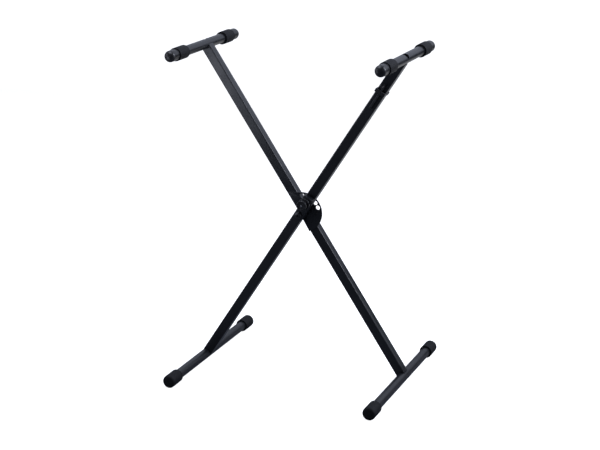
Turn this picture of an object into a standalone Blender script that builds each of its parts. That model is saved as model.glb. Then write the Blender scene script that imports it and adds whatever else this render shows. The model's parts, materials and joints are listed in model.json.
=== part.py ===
"""Folding keyboard stand: two crossed square-tube legs on a pivot, held open by a sprung pull pin.

Metres, +Z up. X is the stand's width, Y its depth, and the floor is z = 0, with the origin midway
between the feet. The rear leg runs from the upper left to the lower right, and the front leg, which
carries the lock, crosses it on the -Y side. Each leg has its own empty at the pivot, turned with the
leg, so a piece of a leg is placed across (X), in depth (Y) and along the leg (Z).
"""
from math import acos, asin, atan2, cos, hypot, pi, radians, sin, sqrt

import bmesh
import bpy

# Legs
LEG_SPAN = 1.000
LEG_HALF_ANGLE = radians(33.25)
LEG_WIDTH = 0.0254
LEG_WALL = 0.0015
LEG_CORNER = 0.0028
LEG_GAP = 0.010
LEG_SETBACK = 0.005

# Bars
BAR_RADIUS = 0.0127
BAR_WALL = 0.0015
TOP_LENGTH = 0.390
FOOT_LENGTH = 0.500

# Soft ends of the bars
SLEEVE_WALL = 0.0043
SLEEVE_LENGTH = 0.050
SLEEVE_EDGE = 0.0015
SLEEVE_GROOVE = 0.0015
TOP_CAP_WALL = 0.0018
TOP_CAP_LENGTH = 0.036
TOP_CAP_END = 0.006
TOP_CAP_DOME = 0.011
FOOT_CAP_WALL = 0.0045
FOOT_CAP_LENGTH = 0.050
FOOT_CAP_END = 0.008
FOOT_CAP_ROUND = 0.006
CAP_LIP = 0.0008

# Bolts that hold the bars to the legs
BOLT_RADIUS = 0.0040
BOLT_HEAD_RADIUS = 0.0065
BOLT_HEAD_HEIGHT = 0.0080
BOLT_PAST_INSERT = 0.002
SOCKET_DEPTH = 0.0045
ACCESS_ROOM = 0.0027
INSERT_LENGTH = 0.025

# Pivot
PIVOT_RADIUS = 0.0050
PIVOT_HEAD_LIP = 0.0038
PIVOT_HEAD_HEIGHT = 0.0055
PIVOT_HEAD_RIM = 0.001925
PIVOT_WASHER_LIP = 0.0055
PIVOT_WASHER_THICKNESS = 0.0015
PIVOT_NUT_WALL = 0.0048
PIVOT_NUT_HEIGHT = 0.0095
PIVOT_THREAD_PAST_NUT = 0.002
BUSH_WALL = 0.0025
SPACER_WALL = 0.0087

# Lock plate and its holes
PLATE_RIM = 0.0023
PLATE_THICKNESS = 0.004
PLATE_TAIL = 0.0117
PLATE_CORNER_INSET = 0.006
HOLE_ROOM = 0.00025
HOLE_ARC = 0.044
HOLE_COUNT = 5
HOLE_WEB = 0.001766
HOLES_ABOVE_USED = 2

# Lock on the front leg
PIN_RADIUS = 0.00575
PIN_GROOVE_DEPTH = 0.0006
PIN_NOSE = 0.001
BRACKET_BELOW_PIN = 0.022
BRACKET_ABOVE_PIN = 0.020
BRACKET_PAST_LEG = 0.0003
BRACKET_EDGE = 0.0012
BRACKET_HEIGHT = 0.018
BRACKET_WALL = 0.002
GUIDE_LIP = 0.006
GUIDE_FLANGE = 0.004
GUIDE_NECK_WALL = 0.00295
GUIDE_HEIGHT = 0.0065
GUIDE_EDGE = 0.001
COLLAR_LIP = 0.00305
COLLAR_THICKNESS = 0.0016
SPRING_TURNS = 5
SPRING_WIRE = 0.0007
SPRING_ROOM = 0.00115
SPRING_POINTS_PER_TURN = 10
KNOB_WAIST_WALL = 0.00375
KNOB_LIP = 0.0032
KNOB_LENGTH = 0.0135
KNOB_DISC = 0.0055
KNOB_EDGE = 0.0012
KNOB_RIM = 0.003
KNOB_RECESS = 0.0016
KNOB_WEB = 0.003
SCREW_RADIUS = 0.0020
SCREW_HEAD_RADIUS = 0.0038
SCREW_HEAD_FLAT = 0.00228
SCREW_HEAD_HEIGHT = 0.0022
SCREW_HEAD_SIDE = 0.00099
SCREW_LENGTH = 0.010

# Hex key and the clip that stores it on the front leg
KEY_RADIUS = 0.0029
KEY_TOP = 0.424
KEY_LONG_ARM = 0.072
KEY_SHORT_ARM = 0.028
KEY_BEND = 0.006
KEY_LIFT = 0.0006
KEY_ROOM = 0.0004
CLIP_FROM_TOP = 0.0175
CLIP_LENGTH = 0.010
CLIP_WALL = 0.0015
CLIP_CORNER = 0.002

# Making
CLEAR = 0.0003
STEPS = 24
SMALL_STEPS = 16
CUT_MARGIN = 0.010
ARC_STEPS = 4
DOME_STEPS = 5
PLATE_ARC_STEPS = 32
CORNER_STEPS = 3
SMALL_CORNER_STEPS = 2
SMOOTH_ANGLE = radians(32)

# Worked out from the sizes above
SLEEVE_RADIUS = BAR_RADIUS + SLEEVE_WALL
TOP_CAP_RADIUS = BAR_RADIUS + TOP_CAP_WALL
FOOT_CAP_RADIUS = BAR_RADIUS + FOOT_CAP_WALL
SOCKET_RADIUS = KEY_RADIUS + KEY_ROOM
ACCESS_RADIUS = BOLT_HEAD_RADIUS + ACCESS_ROOM
PIVOT_HEAD_RADIUS = PIVOT_RADIUS + PIVOT_HEAD_LIP
PIVOT_WASHER_RADIUS = PIVOT_RADIUS + PIVOT_WASHER_LIP
PIVOT_NUT_RADIUS = PIVOT_RADIUS + PIVOT_NUT_WALL
PIVOT_BORE = PIVOT_RADIUS + CLEAR
SPACER_RADIUS = PIVOT_BORE + SPACER_WALL
HOLE_RADIUS = PIN_RADIUS + HOLE_ROOM
HOLE_PITCH = 2 * asin((HOLE_RADIUS + HOLE_WEB / 2) / HOLE_ARC)
PLATE_RADIUS = HOLE_ARC + HOLE_RADIUS + PLATE_RIM
PLATE_REACH = PLATE_RADIUS + PLATE_TAIL
PIVOT_HEIGHT = FOOT_CAP_RADIUS * cos(pi / STEPS) + LEG_SPAN / 2 * cos(LEG_HALF_ANGLE)
FRONT_FACE = -LEG_GAP / 2 - LEG_WIDTH
REAR_FACE = LEG_GAP / 2 + LEG_WIDTH
PLATE_BACK = LEG_GAP / 2 - CLEAR
PLATE_FRONT = PLATE_BACK - PLATE_THICKNESS
PIN_BORE = PIN_RADIUS + CLEAR
BRACKET_LOW = HOLE_ARC - BRACKET_BELOW_PIN
BRACKET_HIGH = HOLE_ARC + BRACKET_ABOVE_PIN
BRACKET_WIDTH = LEG_WIDTH + 2 * BRACKET_PAST_LEG
GUIDE_NECK_RADIUS = PIN_BORE + GUIDE_NECK_WALL
GUIDE_RADIUS = GUIDE_NECK_RADIUS + GUIDE_LIP
COLLAR_RADIUS = PIN_RADIUS + COLLAR_LIP
SPRING_RADIUS = PIN_RADIUS + SPRING_ROOM + SPRING_WIRE
KNOB_WAIST = PIN_BORE + KNOB_WAIST_WALL
KNOB_RADIUS = KNOB_WAIST + KNOB_LIP
KNOB_RECESS_RADIUS = KNOB_RADIUS - KNOB_RIM
BAR_INSIDE = BAR_RADIUS - BAR_WALL
TO_PLUS_Y = (-pi / 2, 0, 0)
TO_MINUS_Y = (pi / 2, 0, 0)

for old in list(bpy.data.objects):
    bpy.data.objects.remove(old, do_unlink=True)
stand = bpy.data.collections.new("keyboard_stand")
cutters = bpy.data.collections.new("cutters")
bpy.context.scene.collection.children.link(stand)
bpy.context.scene.collection.children.link(cutters)


def material(name, colour, roughness, metallic=0.0):
    """A Principled finish for one kind of surface."""
    finish = bpy.data.materials.new(name)
    finish.use_nodes = True
    shader = finish.node_tree.nodes["Principled BSDF"]
    shader.inputs["Base Color"].default_value = (*colour, 1)
    shader.inputs["Roughness"].default_value = roughness
    shader.inputs["Metallic"].default_value = metallic
    return finish


BLACK_COAT = ((0.018, 0.019, 0.022), 0.36)
BLACK_RUBBER = ((0.022, 0.022, 0.024), 0.75)
BLACK_PLASTIC = ((0.014, 0.014, 0.015), 0.35)
BLACK_STEEL = ((0.045, 0.045, 0.05), 0.40, 0.8)
BRIGHT_STEEL = ((0.55, 0.55, 0.56), 0.30, 1.0)


def put(piece, collection, frame, location=(0, 0, 0), rotation=(0, 0, 0)):
    """Moves a new object into a collection and places it in its leg's frame."""
    for home in list(piece.users_collection):
        home.objects.unlink(piece)
    collection.objects.link(piece)
    piece.parent = frame
    piece.location = location
    piece.rotation_euler = rotation
    return piece


def add_mesh(name, mesh, finish, frame, location=(0, 0, 0), rotation=(0, 0, 0)):
    """Puts a mesh in the stand under a name, with a finish of its own."""
    piece = bpy.data.objects.new(name, mesh)
    put(piece, stand, frame, location, rotation)
    mesh.materials.append(material(name, *finish))
    return piece


def turned(name, profile, finish, frame, location, rotation, steps=STEPS):
    """A turned piece: its profile of (radius, height) runs down the outer side, from top to bottom.

    A profile that starts and ends on the axis is solid, and any other is closed into a ring.
    """
    mesh = bpy.data.meshes.new(name)
    edges = [(k, k + 1) for k in range(len(profile) - 1)]
    if profile[0][0] > 0:
        edges.append((len(profile) - 1, 0))
    mesh.from_pydata([(radius, 0, height) for radius, height in profile], edges, [])
    piece = add_mesh(name, mesh, finish, frame, location, rotation)
    screw = piece.modifiers.new("turn", "SCREW")
    screw.axis = "Z"
    screw.steps = steps
    screw.render_steps = steps
    screw.use_merge_vertices = True
    screw.merge_threshold = 0.00001
    screw.use_smooth_shade = False
    return piece


def ring(inner, outer, low, high):
    """The profile of a plain ring."""
    return [(inner, high), (outer, high), (outer, low), (inner, low)]


def arc(centre_radius, centre_height, radius, start, end, steps=ARC_STEPS):
    """Points of an arc in a profile, with angles counted from the outward direction."""
    turns = [start + (end - start) * k / steps for k in range(steps + 1)]
    return [(centre_radius + radius * cos(t), centre_height + radius * sin(t)) for t in turns]


def rise(edge):
    """How far an edge climbs from one end to the other."""
    low, high = edge.verts
    return abs(high.co.z - low.co.z)


def block(name, size, collection, frame, location, bevel=0.0, segments=CORNER_STEPS, edges="all"):
    """A box at its real size, with all its edges or only its upright ones rounded."""
    bpy.ops.mesh.primitive_cube_add(size=1)
    piece = bpy.context.object
    piece.name = name
    piece.data.name = name
    for vertex in piece.data.vertices:
        vertex.co = [vertex.co[k] * size[k] for k in range(3)]
    if bevel:
        mesh = bmesh.new()
        mesh.from_mesh(piece.data)
        chosen = [e for e in mesh.edges if edges == "all" or rise(e) > size[2] / 2]
        bmesh.ops.bevel(mesh, geom=chosen, offset=bevel, segments=segments, profile=0.5, affect="EDGES")
        mesh.to_mesh(piece.data)
        mesh.free()
    return put(piece, collection, frame, location)


def drill(piece, frame, radius, length, location, rotation=(0, 0, 0), sides=STEPS):
    """Cuts a round or, with six sides, a hexagonal hole."""
    bpy.ops.mesh.primitive_cylinder_add(vertices=sides, radius=radius, depth=length)
    tool = bpy.context.object
    tool.name = piece.name + "_cutter"
    put(tool, cutters, frame, location, rotation)
    cut(piece, tool)


def cut(piece, tool):
    """Takes one solid out of another."""
    tool.hide_render = True
    tool.display_type = "WIRE"
    boolean = piece.modifiers.new("cut", "BOOLEAN")
    boolean.operation = "DIFFERENCE"
    boolean.object = tool


def curve_to_mesh(curve_object):
    """Turns a curve into a closed mesh by welding its loose caps."""
    bpy.context.view_layer.update()
    seen = curve_object.evaluated_get(bpy.context.evaluated_depsgraph_get())
    mesh = bpy.data.meshes.new_from_object(seen)
    bpy.data.objects.remove(curve_object)
    work = bmesh.new()
    work.from_mesh(mesh)
    bmesh.ops.remove_doubles(work, verts=work.verts, dist=0.00001)
    work.to_mesh(mesh)
    work.free()
    mesh.materials.clear()
    return mesh


def wire_mesh(name, points, radius):
    """A round wire along a line of points."""
    curve = bpy.data.curves.new(name, "CURVE")
    curve.dimensions = "3D"
    curve.bevel_depth = radius
    curve.bevel_resolution = 1
    curve.use_fill_caps = True
    spline = curve.splines.new("POLY")
    spline.points.add(len(points) - 1)
    for place, point in zip(spline.points, points):
        place.co = (*point, 1)
    wire = bpy.data.objects.new(name, curve)
    stand.objects.link(wire)
    return curve_to_mesh(wire)


def plate_mesh(name, outline, thickness):
    """A flat plate cut to an outline in X and Z, centred on its thickness."""
    curve = bpy.data.curves.new(name, "CURVE")
    curve.dimensions = "2D"
    curve.fill_mode = "BOTH"
    curve.extrude = thickness / 2
    spline = curve.splines.new("POLY")
    spline.points.add(len(outline) - 1)
    for place, (across, along) in zip(spline.points, outline):
        place.co = (across, along, 0, 1)
    spline.use_cyclic_u = True
    flat = bpy.data.objects.new(name, curve)
    stand.objects.link(flat)
    return curve_to_mesh(flat)


def leg_frame(name, turn):
    """The empty on the pivot's axis that carries one leg."""
    frame = bpy.data.objects.new(name, None)
    stand.objects.link(frame)
    frame.location = (0, 0, PIVOT_HEIGHT)
    frame.rotation_euler = (0, turn, 0)
    return frame


def make_leg(name, frame, depth):
    """A square tube, coped over the bar at each end, with the pivot's hole."""
    length = LEG_SPAN - 2 * LEG_SETBACK
    place = (0, depth, 0)
    size = (LEG_WIDTH, LEG_WIDTH, length)
    leg = block(name, size, stand, frame, place, LEG_CORNER, CORNER_STEPS, "upright")
    leg.data.materials.append(material(name, *BLACK_COAT))
    inside = LEG_WIDTH - 2 * LEG_WALL
    corner = LEG_CORNER - LEG_WALL
    size = (inside, inside, length + CUT_MARGIN)
    cut(leg, block(name + "_hollow", size, cutters, frame, place, corner, SMALL_CORNER_STEPS, "upright"))
    for end in (-1, 1):
        cope = (0, depth, end * LEG_SPAN / 2)
        drill(leg, frame, BAR_RADIUS + CLEAR, LEG_WIDTH + CUT_MARGIN, cope, TO_PLUS_Y)
    drill(leg, frame, PIVOT_BORE, LEG_WIDTH + CUT_MARGIN, place, TO_PLUS_Y)
    return leg


def upright(turn, side):
    """The rotation that lays a turned piece along Y with a flat facet facing straight up and down."""
    return (-side * pi / 2, side * pi / STEPS - turn, 0)


def make_bar(name, frame, turn, depth, end, length):
    """A round tube across the leg's end, with its bolt, the bolt's access hole and the nut block."""
    at = (0, 0, end * LEG_SPAN / 2)
    tube = ring(BAR_INSIDE, BAR_RADIUS, -length / 2, length / 2)
    bar = turned(name, tube, BLACK_COAT, frame, at, upright(turn, 1))
    outward = end * (LEG_SPAN / 2 + BAR_RADIUS)
    inward = end * (LEG_SPAN / 2 - BAR_RADIUS)
    drill(bar, frame, ACCESS_RADIUS, 2 * BAR_RADIUS, (0, depth, outward))
    drill(bar, frame, BOLT_RADIUS + CLEAR, BAR_RADIUS, (0, depth, inward))

    seat = LEG_SPAN / 2 - sqrt(BAR_INSIDE ** 2 - BOLT_HEAD_RADIUS ** 2) + CLEAR
    insert_top = LEG_SPAN / 2 - BAR_RADIUS - 2 * CLEAR
    tip = insert_top - INSERT_LENGTH - BOLT_PAST_INSERT
    head = BOLT_HEAD_HEIGHT
    profile = [(0, head), (BOLT_HEAD_RADIUS, head), (BOLT_HEAD_RADIUS, 0), (BOLT_RADIUS, 0)]
    profile += [(BOLT_RADIUS, tip - seat), (0, tip - seat)]
    along = (0, 0, 0) if end > 0 else (pi, 0, 0)
    bolt = turned(name + "_bolt", profile, BLACK_STEEL, frame, (0, depth, end * seat), along, SMALL_STEPS)
    socket = end * (seat + head)
    drill(bolt, frame, SOCKET_RADIUS, 2 * SOCKET_DEPTH, (0, depth, socket), sides=6)

    side = LEG_WIDTH - 2 * LEG_WALL - 2 * CLEAR
    middle = (0, depth, end * (insert_top - INSERT_LENGTH / 2))
    size = (side, side, INSERT_LENGTH)
    corner = LEG_CORNER - LEG_WALL
    insert = block(name + "_insert", size, stand, frame, middle, corner, SMALL_CORNER_STEPS, "upright")
    insert.data.materials.append(material(insert.name, *BLACK_PLASTIC))
    drill(insert, frame, BOLT_RADIUS + CLEAR, INSERT_LENGTH + CUT_MARGIN, middle, sides=SMALL_STEPS)


def cup(radius, length, end_wall, end_shape):
    """The profile of a cap that closes the end of a bar, with its mouth at height zero."""
    inside = BAR_RADIUS + CLEAR
    floor = length - end_wall
    return end_shape + [(radius, CAP_LIP), (radius - CAP_LIP, 0), (inside, 0), (inside, floor), (0, floor)]


def make_top_ends(bar, frame, turn, end):
    """The rubber sleeves that carry the keyboard and the domed caps outside them."""
    dome = arc(0, 0, 1, pi / 2, 0, DOME_STEPS)
    base = TOP_CAP_LENGTH - TOP_CAP_DOME
    shape = [(TOP_CAP_RADIUS * across, base + TOP_CAP_DOME * up) for across, up in dome]
    shape[0] = (0, TOP_CAP_LENGTH)
    inside = BAR_RADIUS + CLEAR
    face = SLEEVE_RADIUS - SLEEVE_EDGE
    sleeve = [(inside, SLEEVE_LENGTH), (face, SLEEVE_LENGTH), (SLEEVE_RADIUS, SLEEVE_LENGTH - SLEEVE_EDGE)]
    sleeve += [(SLEEVE_RADIUS, SLEEVE_EDGE), (face, 0), (inside, 0)]
    for side, where in ((-1, "front"), (1, "rear")):
        mouth = TOP_LENGTH / 2 - TOP_CAP_LENGTH
        at = (0, side * mouth, end * LEG_SPAN / 2)
        profile = cup(TOP_CAP_RADIUS, TOP_CAP_LENGTH, TOP_CAP_END, shape)
        turned(f"{bar}_cap_{where}", profile, BLACK_PLASTIC, frame, at, upright(turn, side))
        start = mouth - SLEEVE_GROOVE - SLEEVE_LENGTH
        at = (0, side * start, end * LEG_SPAN / 2)
        turned(f"{bar}_sleeve_{where}", sleeve, BLACK_RUBBER, frame, at, upright(turn, side))


def make_foot_ends(bar, frame, turn, end):
    """The rubber cups on which the stand rests."""
    centre = (FOOT_CAP_RADIUS - FOOT_CAP_ROUND, FOOT_CAP_LENGTH - FOOT_CAP_ROUND)
    corner = arc(*centre, FOOT_CAP_ROUND, pi / 2, 0)
    shape = [(0, FOOT_CAP_LENGTH)] + corner
    for side, where in ((-1, "front"), (1, "rear")):
        at = (0, side * (FOOT_LENGTH / 2 - FOOT_CAP_LENGTH), end * LEG_SPAN / 2)
        profile = cup(FOOT_CAP_RADIUS, FOOT_CAP_LENGTH, FOOT_CAP_END, shape)
        turned(f"{bar}_cap_{where}", profile, BLACK_RUBBER, frame, at, upright(turn, side))


def make_plate(frame):
    """The half-moon lock plate on the rear leg's front face, with its row of holes."""
    half = LEG_WIDTH / 2
    corner = (PLATE_CORNER_INSET - half, PLATE_REACH)
    reach = hypot(*corner)
    first = atan2(corner[1], corner[0]) - acos(PLATE_RADIUS / reach)
    last = -acos(-half / PLATE_RADIUS)
    steps = PLATE_ARC_STEPS
    turns = [first + (last - first) * k / steps for k in range(steps + 1)]
    outline = [(PLATE_RADIUS * cos(t), PLATE_RADIUS * sin(t)) for t in turns] + [corner]
    depth = PLATE_BACK - PLATE_THICKNESS / 2
    flat = plate_mesh("lock_plate", outline, PLATE_THICKNESS)
    plate = add_mesh("lock_plate", flat, BLACK_COAT, frame, (0, depth, 0), TO_MINUS_Y)
    used = pi / 2 - 2 * LEG_HALF_ANGLE
    for k in range(HOLE_COUNT):
        turn = used + (HOLES_ABOVE_USED - k) * HOLE_PITCH
        place = (HOLE_ARC * cos(turn), depth, HOLE_ARC * sin(turn))
        drill(plate, frame, HOLE_RADIUS, PLATE_THICKNESS + CUT_MARGIN, place, TO_PLUS_Y, SMALL_STEPS)
    drill(plate, frame, PIVOT_BORE, PLATE_THICKNESS + CUT_MARGIN, (0, depth, 0), TO_PLUS_Y, SMALL_STEPS)


def make_pivot(rear, front):
    """The bolt through both legs, with its washers, lock nut, spacer and the bushes in the tubes."""
    bore = PIVOT_BORE
    washer = ring(bore, PIVOT_WASHER_RADIUS, 0, PIVOT_WASHER_THICKNESS)
    front_washer = FRONT_FACE - CLEAR
    turned("pivot_washer_front", washer, BLACK_STEEL, rear, (0, front_washer, 0), TO_MINUS_Y, SMALL_STEPS)
    rear_washer = REAR_FACE + CLEAR
    turned("pivot_washer_rear", washer, BLACK_STEEL, rear, (0, rear_washer, 0), TO_PLUS_Y, SMALL_STEPS)

    under_head = front_washer - PIVOT_WASHER_THICKNESS - CLEAR
    nut_face = rear_washer + PIVOT_WASHER_THICKNESS + CLEAR
    tip = nut_face + PIVOT_NUT_HEIGHT + PIVOT_THREAD_PAST_NUT
    dome = arc(0, 0, 1, pi / 2, 0)
    crown = PIVOT_HEAD_HEIGHT - PIVOT_HEAD_RIM
    profile = [(PIVOT_HEAD_RADIUS * across, PIVOT_HEAD_RIM + crown * up) for across, up in dome]
    profile[0] = (0, PIVOT_HEAD_HEIGHT)
    shank = under_head - tip
    profile += [(PIVOT_HEAD_RADIUS, 0), (PIVOT_RADIUS, 0), (PIVOT_RADIUS, shank), (0, shank)]
    bolt = turned("pivot_bolt", profile, BLACK_STEEL, rear, (0, under_head, 0), TO_MINUS_Y, SMALL_STEPS)
    drill(bolt, rear, SOCKET_RADIUS, 2 * SOCKET_DEPTH, (0, under_head - PIVOT_HEAD_HEIGHT, 0), TO_PLUS_Y, 6)

    bpy.ops.mesh.primitive_cylinder_add(vertices=6, radius=PIVOT_NUT_RADIUS, depth=PIVOT_NUT_HEIGHT)
    nut = bpy.context.object
    nut.name = "pivot_nut"
    put(nut, stand, rear, (0, nut_face + PIVOT_NUT_HEIGHT / 2, 0), TO_PLUS_Y)
    nut.data.materials.append(material(nut.name, *BLACK_STEEL))
    drill(nut, rear, bore, PIVOT_NUT_HEIGHT + CUT_MARGIN, nut.location, TO_PLUS_Y, SMALL_STEPS)

    spacer_back = PLATE_FRONT - CLEAR
    spacer_front = -LEG_GAP / 2 + CLEAR
    spacer = ring(bore, SPACER_RADIUS, 0, spacer_back - spacer_front)
    turned("pivot_spacer", spacer, BLACK_PLASTIC, rear, (0, spacer_front, 0), TO_PLUS_Y, SMALL_STEPS)

    length = LEG_WIDTH - 2 * LEG_WALL - 2 * CLEAR
    bush = ring(bore, bore + BUSH_WALL, 0, length)
    rear_start = LEG_GAP / 2 + LEG_WALL + CLEAR
    turned("pivot_bush_rear", bush, BRIGHT_STEEL, rear, (0, rear_start, 0), TO_PLUS_Y, SMALL_STEPS)
    front_start = FRONT_FACE + LEG_WALL + CLEAR
    turned("pivot_bush_front", bush, BRIGHT_STEEL, front, (0, front_start, 0), TO_PLUS_Y, SMALL_STEPS)


def make_bracket(frame):
    """The bridge on the front leg that backs the spring, and the round guide in front of it."""
    back = FRONT_FACE - CLEAR
    face = FRONT_FACE - BRACKET_HEIGHT
    tall = BRACKET_HIGH - BRACKET_LOW
    middle = (BRACKET_HIGH + BRACKET_LOW) / 2
    size = (BRACKET_WIDTH, back - face, tall)
    at = (0, (back + face) / 2, middle)
    bracket = block("lock_bracket", size, stand, frame, at, BRACKET_EDGE, SMALL_CORNER_STEPS)
    bracket.data.materials.append(material("lock_bracket", *BLACK_COAT))
    depth = back - face
    inside = (BRACKET_WIDTH + CUT_MARGIN, 2 * (depth - BRACKET_WALL), tall - 2 * BRACKET_WALL)
    cut(bracket, block("lock_bracket_inside", inside, cutters, frame, (0, back, middle)))
    drill(bracket, frame, PIN_BORE, BRACKET_HEIGHT, (0, face, HOLE_ARC), TO_PLUS_Y, SMALL_STEPS)

    profile = [(PIN_BORE, GUIDE_HEIGHT), (GUIDE_NECK_RADIUS, GUIDE_HEIGHT), (GUIDE_NECK_RADIUS, GUIDE_FLANGE)]
    profile += [(GUIDE_RADIUS - GUIDE_EDGE, GUIDE_FLANGE), (GUIDE_RADIUS, GUIDE_FLANGE - GUIDE_EDGE)]
    profile += [(GUIDE_RADIUS, 0), (PIN_BORE, 0)]
    turned("lock_guide", profile, BLACK_PLASTIC, frame, (0, face - CLEAR, HOLE_ARC), TO_MINUS_Y)


def make_plunger(frame):
    """The pull pin with its collar, knob and screw, all on the pin's axis."""
    tip = PLATE_FRONT - CLEAR
    guide_front = FRONT_FACE - BRACKET_HEIGHT - CLEAR - GUIDE_HEIGHT
    knob_back = guide_front - CLEAR
    knob_front = knob_back - KNOB_LENGTH
    web_back = knob_front + KNOB_RECESS + KNOB_WEB
    pin_end = web_back + CLEAR

    collar_back = FRONT_FACE - CLEAR
    groove_back = collar_back + CLEAR - tip
    groove_front = collar_back - COLLAR_THICKNESS - CLEAR - tip
    groove = PIN_RADIUS - PIN_GROOVE_DEPTH
    screw_bore = SCREW_RADIUS + CLEAR
    length = tip - pin_end
    bore_floor = length - (SCREW_LENGTH - KNOB_WEB) - PIN_NOSE
    profile = [(0, bore_floor), (screw_bore, bore_floor), (screw_bore, length), (PIN_RADIUS, length)]
    profile += [(PIN_RADIUS, -groove_front), (groove, -groove_front), (groove, -groove_back)]
    profile += [(PIN_RADIUS, -groove_back), (PIN_RADIUS, PIN_NOSE), (PIN_RADIUS - PIN_NOSE, 0), (0, 0)]
    turned("lock_pin", profile, BRIGHT_STEEL, frame, (0, tip, 0), TO_MINUS_Y, SMALL_STEPS)

    collar = ring(groove + CLEAR, COLLAR_RADIUS, 0, COLLAR_THICKNESS)
    turned("lock_collar", collar, BRIGHT_STEEL, frame, (0, collar_back, 0), TO_MINUS_Y, SMALL_STEPS)

    recess = KNOB_LENGTH - KNOB_RECESS
    web = recess - KNOB_WEB
    disc = KNOB_LENGTH - KNOB_DISC
    profile = [(screw_bore, recess), (KNOB_RECESS_RADIUS, recess)]
    profile += [(KNOB_RECESS_RADIUS + KNOB_EDGE / 2, KNOB_LENGTH)]
    profile += [(KNOB_RADIUS - KNOB_EDGE, KNOB_LENGTH), (KNOB_RADIUS, KNOB_LENGTH - KNOB_EDGE)]
    profile += [(KNOB_RADIUS, disc + KNOB_EDGE), (KNOB_WAIST, disc - KNOB_EDGE), (KNOB_WAIST, 0)]
    profile += [(PIN_BORE, 0), (PIN_BORE, web), (screw_bore, web)]
    turned("lock_knob", profile, BLACK_PLASTIC, frame, (0, knob_back, 0), TO_MINUS_Y)

    head = SCREW_HEAD_HEIGHT
    profile = [(0, head), (SCREW_HEAD_FLAT, head)]
    profile += [(SCREW_HEAD_RADIUS, SCREW_HEAD_SIDE), (SCREW_HEAD_RADIUS, 0)]
    profile += [(SCREW_RADIUS, 0), (SCREW_RADIUS, -SCREW_LENGTH), (0, -SCREW_LENGTH)]
    screw_seat = knob_front + KNOB_RECESS - CLEAR
    turned("lock_knob_screw", profile, BRIGHT_STEEL, frame, (0, screw_seat, 0), TO_MINUS_Y, SMALL_STEPS)
    return collar_back - COLLAR_THICKNESS


def make_spring(frame, collar_front):
    """The coil between the collar and the bracket's front wall."""
    start = collar_front - CLEAR - SPRING_WIRE
    stop = FRONT_FACE - BRACKET_HEIGHT + BRACKET_WALL + CLEAR + SPRING_WIRE
    count = SPRING_TURNS * SPRING_POINTS_PER_TURN
    points = []
    for k in range(count + 1):
        turn = 2 * pi * k / SPRING_POINTS_PER_TURN
        depth = start + (stop - start) * k / count
        points.append((SPRING_RADIUS * cos(turn), depth, SPRING_RADIUS * sin(turn)))
    near = SPRING_POINTS_PER_TURN // 2
    gaps = []
    for a in range(count + 1):
        for b in range(a + near, count + 1):
            apart = sqrt(sum((points[a][k] - points[b][k]) ** 2 for k in range(3)))
            gaps.append(apart - 2 * SPRING_WIRE)
    print(f"lock_spring least gap to itself {min(gaps) * 1000:.2f} mm")
    add_mesh("lock_spring", wire_mesh("lock_spring", points, SPRING_WIRE), BRIGHT_STEEL, frame)


def make_key(frame):
    """The hex key that lies along the front leg, and the clip round the leg that holds it."""
    depth = FRONT_FACE - KEY_LIFT - KEY_RADIUS
    tip = depth - KEY_SHORT_ARM
    bend = arc(depth - KEY_BEND, KEY_TOP - KEY_BEND, KEY_BEND, 0, pi / 2)
    path = [(0, depth, KEY_TOP - KEY_LONG_ARM)] + [(0, y, z) for y, z in bend] + [(0, tip, KEY_TOP)]
    add_mesh("hex_key", wire_mesh("hex_key", path, KEY_RADIUS), BLACK_STEEL, frame)

    inside = LEG_WIDTH + 2 * CLEAR
    back = -LEG_GAP / 2 + CLEAR + CLIP_WALL
    face = depth - KEY_RADIUS - CLEAR - CLIP_WALL
    centre = KEY_TOP - CLIP_FROM_TOP - CLIP_LENGTH / 2
    size = (inside + 2 * CLIP_WALL, back - face, CLIP_LENGTH)
    at = (0, (back + face) / 2, centre)
    clip = block("key_clip", size, stand, frame, at, CLIP_CORNER, SMALL_CORNER_STEPS, "upright")
    clip.data.materials.append(material("key_clip", *BLACK_PLASTIC))
    leg_room = (inside, inside, CLIP_LENGTH + CUT_MARGIN)
    at = (0, -(LEG_GAP + LEG_WIDTH) / 2, centre)
    room = block("key_clip_inside", leg_room, cutters, frame, at, LEG_CORNER, SMALL_CORNER_STEPS, "upright")
    cut(clip, room)
    key_room = 2 * (KEY_RADIUS + CLEAR)
    slot = (key_room, key_room, CLIP_LENGTH + CUT_MARGIN)
    cut(clip, block("key_clip_slot", slot, cutters, frame, (0, depth, centre)))


rear_leg_frame = leg_frame("rear_leg_frame", -LEG_HALF_ANGLE)
front_leg_frame = leg_frame("front_leg_frame", LEG_HALF_ANGLE)
plunger_frame = bpy.data.objects.new("plunger_frame", None)
put(plunger_frame, stand, front_leg_frame, (0, 0, HOLE_ARC))

rear_depth = (LEG_GAP + LEG_WIDTH) / 2
front_depth = -rear_depth
make_leg("rear_leg", rear_leg_frame, rear_depth)
front_leg = make_leg("front_leg", front_leg_frame, front_depth)
pin_place = (0, front_depth, HOLE_ARC)
drill(front_leg, front_leg_frame, PIN_BORE, LEG_WIDTH + CUT_MARGIN, pin_place, TO_PLUS_Y, SMALL_STEPS)

top_tube = TOP_LENGTH - 2 * (TOP_CAP_END + CLEAR)
foot_tube = FOOT_LENGTH - 2 * (FOOT_CAP_END + CLEAR)
for leg, turn, leg_depth, top_name, foot_name in (
    (rear_leg_frame, -LEG_HALF_ANGLE, rear_depth, "top_bar_left", "foot_bar_right"),
    (front_leg_frame, LEG_HALF_ANGLE, front_depth, "top_bar_right", "foot_bar_left"),
):
    make_bar(top_name, leg, turn, leg_depth, 1, top_tube)
    make_top_ends(top_name, leg, turn, 1)
    make_bar(foot_name, leg, turn, leg_depth, -1, foot_tube)
    make_foot_ends(foot_name, leg, turn, -1)

make_plate(rear_leg_frame)
make_pivot(rear_leg_frame, front_leg_frame)
make_bracket(front_leg_frame)
make_spring(plunger_frame, make_plunger(plunger_frame))
make_key(front_leg_frame)

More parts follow.
